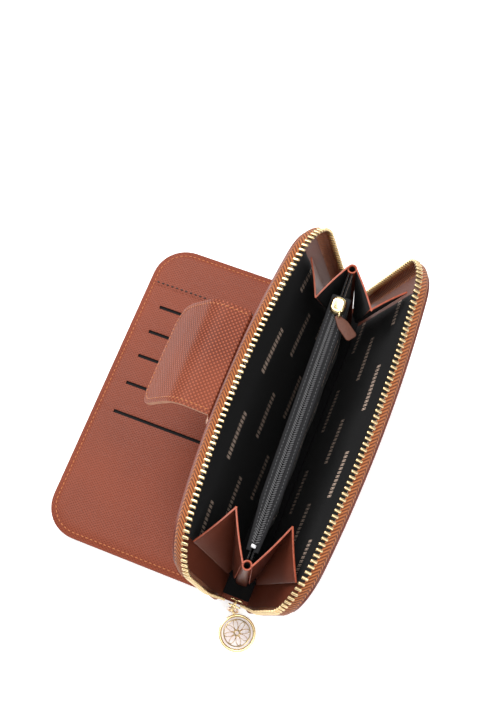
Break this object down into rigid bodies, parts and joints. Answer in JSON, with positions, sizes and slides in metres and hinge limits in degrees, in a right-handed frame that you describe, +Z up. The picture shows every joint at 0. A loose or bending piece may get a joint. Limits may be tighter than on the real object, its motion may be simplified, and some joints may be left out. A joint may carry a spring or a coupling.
{
  "type": "zip around wallet",
  "caption": "Long wallet that zips round both covers, standing open, with a coin pocket divider, folding gussets, a slotted card flap, a strap tab and a round charm.",
  "frame": {"origin": "middle of the spine's flat underside, on the table", "axes": "+Z up, +Y along the spine away from the charm, -X towards the card flap"},
  "size_m": [0.1693, 0.217, 0.1078],
  "materials": {
    "leather": "cross-grained reddish brown leather, satin",
    "tab_leather": "embossed reddish brown leather, satin",
    "gusset_leather": "thin brown leather with painted red-orange edges",
    "cardboard": "grey stiffening board",
    "lining": "black woven lining with a sparse woven motif",
    "zip_tape": "caramel herringbone tape",
    "coin_tape": "black zip tape and coil",
    "gold": "polished pale gold plating",
    "pale_metal": "pale polished plating",
    "steel": "plain magnet and stop metal"
  },
  "bodies": {
    "spine": {"coin_pocket_left_panel": "lining", "coin_pocket_right_panel": "lining", "coin_zip_coil": "coin_tape", "coin_zip_far_stop": "steel", "coin_zip_left_tape": "coin_tape", "coin_zip_near_stop": "steel", "coin_zip_right_tape": "coin_tape", "gusset_far_middle": "gusset_leather", "gusset_near_middle": "gusset_leather", "spine_leather": "leather", "spine_lining": "lining"},
    "left_cover": {"left_cover_board": "cardboard", "left_cover_leather": "leather", "left_cover_lining": "lining", "left_zip_stop": "gold", "left_zip_tape": "zip_tape", "left_zip_teeth": "gold", "tab_anchor": "tab_leather"},
    "right_cover": {"right_cover_board": "cardboard", "right_cover_leather": "leather", "right_cover_lining": "lining", "right_zip_stop": "gold", "right_zip_tape": "zip_tape", "right_zip_teeth": "gold"},
    "flap": {"card_panel": "leather", "flap_board": "cardboard", "flap_leather": "leather", "flap_magnet": "steel", "flap_pocket_fabric": "lining", "flap_top_strip": "leather"},
    "tab_root": {"tab_root_leather": "tab_leather", "tab_root_lining": "leather"},
    "tab_tip": {"tab_magnet": "steel", "tab_tip_leather": "tab_leather", "tab_tip_lining": "leather"},
    "zip_slider": {"zip_slider_body": "gold"},
    "pull_link": {"pull_link": "gold"},
    "charm": {"charm_face": "pale_metal", "charm_ring": "gold"},
    "coin_slider": {"coin_slider_body": "gold"},
    "coin_pull": {"coin_pull": "tab_leather"},
    "gusset_near_left_cover_leaf": {"gusset_near_left_cover_leaf": "gusset_leather"},
    "gusset_near_left_middle_leaf": {"gusset_near_left_middle_leaf": "gusset_leather"},
    "gusset_near_right_cover_leaf": {"gusset_near_right_cover_leaf": "gusset_leather"},
    "gusset_near_right_middle_leaf": {"gusset_near_right_middle_leaf": "gusset_leather"},
    "gusset_far_left_cover_leaf": {"gusset_far_left_cover_leaf": "gusset_leather"},
    "gusset_far_left_middle_leaf": {"gusset_far_left_middle_leaf": "gusset_leather"},
    "gusset_far_right_cover_leaf": {"gusset_far_right_cover_leaf": "gusset_leather"},
    "gusset_far_right_middle_leaf": {"gusset_far_right_middle_leaf": "gusset_leather"}
  },
  "joints": [
    {"name": "left_cover_hinge", "type": "hinge", "parent": "spine", "child": "left_cover", "pos_m": [-0.00536, 0, 0.00277], "axis": [0, 1, 0], "range_deg": [-4, 11.3]},
    {"name": "right_cover_hinge", "type": "hinge", "parent": "spine", "child": "right_cover", "pos_m": [0.00559, 0, 0.00368], "axis": [0, -1, 0], "range_deg": [-3, 13.1]},
    {"name": "flap_fold", "type": "hinge", "parent": "left_cover", "child": "flap", "pos_m": [-0.0124, 0, 0.00205], "axis": [0, 1, 0], "range_deg": [-11.3, 74]},
    {"name": "tab_lift", "type": "hinge", "parent": "left_cover", "child": "tab_root", "pos_m": [-0.03426, 0.0036, 0.10049], "axis": [0, 1, 0], "range_deg": [-8, 46]},
    {"name": "tab_fold", "type": "hinge", "parent": "tab_root", "child": "tab_tip", "pos_m": [-0.05139, 0.0036, 0.1029], "axis": [0, -1, 0], "range_deg": [-54, 60]},
    {"name": "zip_slider_run", "type": "slide", "parent": "right_cover", "child": "zip_slider", "axis": [-0.335, 0.1104, -0.9357], "range_m": [-0.03, 0]},
    {"name": "pull_link_swing", "type": "hinge", "parent": "zip_slider", "child": "pull_link", "pos_m": [0.00131, -0.09672, 0.0076], "axis": [0.9874, 0.1119, 0.1118], "range_deg": [-15, 20]},
    {"name": "charm_swing", "type": "hinge", "parent": "pull_link", "child": "charm", "pos_m": [0.00204, -0.09792, 0.00235], "axis": [0.8541, 0.5201, 0], "range_deg": [-45, 12]},
    {"name": "coin_slider_run", "type": "slide", "parent": "spine", "child": "coin_slider", "axis": [-0.04, 0.9992, 0], "range_m": [-0.118, 0]},
    {"name": "coin_pull_swing", "type": "hinge", "parent": "coin_slider", "child": "coin_pull", "pos_m": [0.00669, 0.05289, 0.0895], "axis": [0.6, 0.8, 0], "range_deg": [-28, 15]},
    {"name": "gusset_near_left_cover_leaf_fold", "type": "hinge", "parent": "left_cover", "child": "gusset_near_left_cover_leaf", "pos_m": [-0.00536, -0.082, 0.00277], "axis": [-0.1722, 0, 0.9851], "range_deg": [-7.1, 19.2]},
    {"name": "gusset_near_left_middle_leaf_fold", "type": "hinge", "parent": "spine", "child": "gusset_near_left_middle_leaf", "pos_m": [-0.00536, -0.082, 0.00277], "axis": [-0.1429, 0, -0.9897], "range_deg": [-7.1, 19.2]},
    {"name": "gusset_near_right_cover_leaf_fold", "type": "hinge", "parent": "right_cover", "child": "gusset_near_right_cover_leaf", "pos_m": [0.00559, -0.082, 0.00368], "axis": [-0.3505, 0, -0.9366], "range_deg": [-5.2, 21.1]},
    {"name": "gusset_near_right_middle_leaf_fold", "type": "hinge", "parent": "spine", "child": "gusset_near_right_middle_leaf", "pos_m": [0.00559, -0.082, 0.00368], "axis": [0.0905, 0, 0.9959], "range_deg": [-5.2, 21.1]},
    {"name": "gusset_far_left_cover_leaf_fold", "type": "hinge", "parent": "left_cover", "child": "gusset_far_left_cover_leaf", "pos_m": [-0.00536, 0.0835, 0.00277], "axis": [0.1701, 0, -0.9854], "range_deg": [-8.5, 23]},
    {"name": "gusset_far_left_middle_leaf_fold", "type": "hinge", "parent": "spine", "child": "gusset_far_left_middle_leaf", "pos_m": [-0.00536, 0.0835, 0.00277], "axis": [0.0648, 0, 0.9979], "range_deg": [-8.5, 23]},
    {"name": "gusset_far_right_cover_leaf_fold", "type": "hinge", "parent": "right_cover", "child": "gusset_far_right_cover_leaf", "pos_m": [0.00559, 0.0835, 0.00368], "axis": [0.349, 0, 0.9371], "range_deg": [-7.1, 29.4]},
    {"name": "gusset_far_right_middle_leaf_fold", "type": "hinge", "parent": "spine", "child": "gusset_far_right_middle_leaf", "pos_m": [0.00559, 0.0835, 0.00368], "axis": [-0.0105, 0, -0.9999], "range_deg": [-7.1, 29.4]}
  ],
  "couplings": [
    {"joint": "tab_lift", "follows": "flap_fold", "ratio": 0.6},
    {"joint": "gusset_near_left_cover_leaf_fold", "follows": "left_cover_hinge", "ratio": 1.655},
    {"joint": "gusset_near_left_middle_leaf_fold", "follows": "left_cover_hinge", "ratio": 1.655},
    {"joint": "gusset_near_right_cover_leaf_fold", "follows": "right_cover_hinge", "ratio": 1.57},
    {"joint": "gusset_near_right_middle_leaf_fold", "follows": "right_cover_hinge", "ratio": 1.57},
    {"joint": "gusset_far_left_cover_leaf_fold", "follows": "left_cover_hinge", "ratio": 1.99},
    {"joint": "gusset_far_left_middle_leaf_fold", "follows": "left_cover_hinge", "ratio": 1.99},
    {"joint": "gusset_far_right_cover_leaf_fold", "follows": "right_cover_hinge", "ratio": 2.205},
    {"joint": "gusset_far_right_middle_leaf_fold", "follows": "right_cover_hinge", "ratio": 2.205}
  ]
}
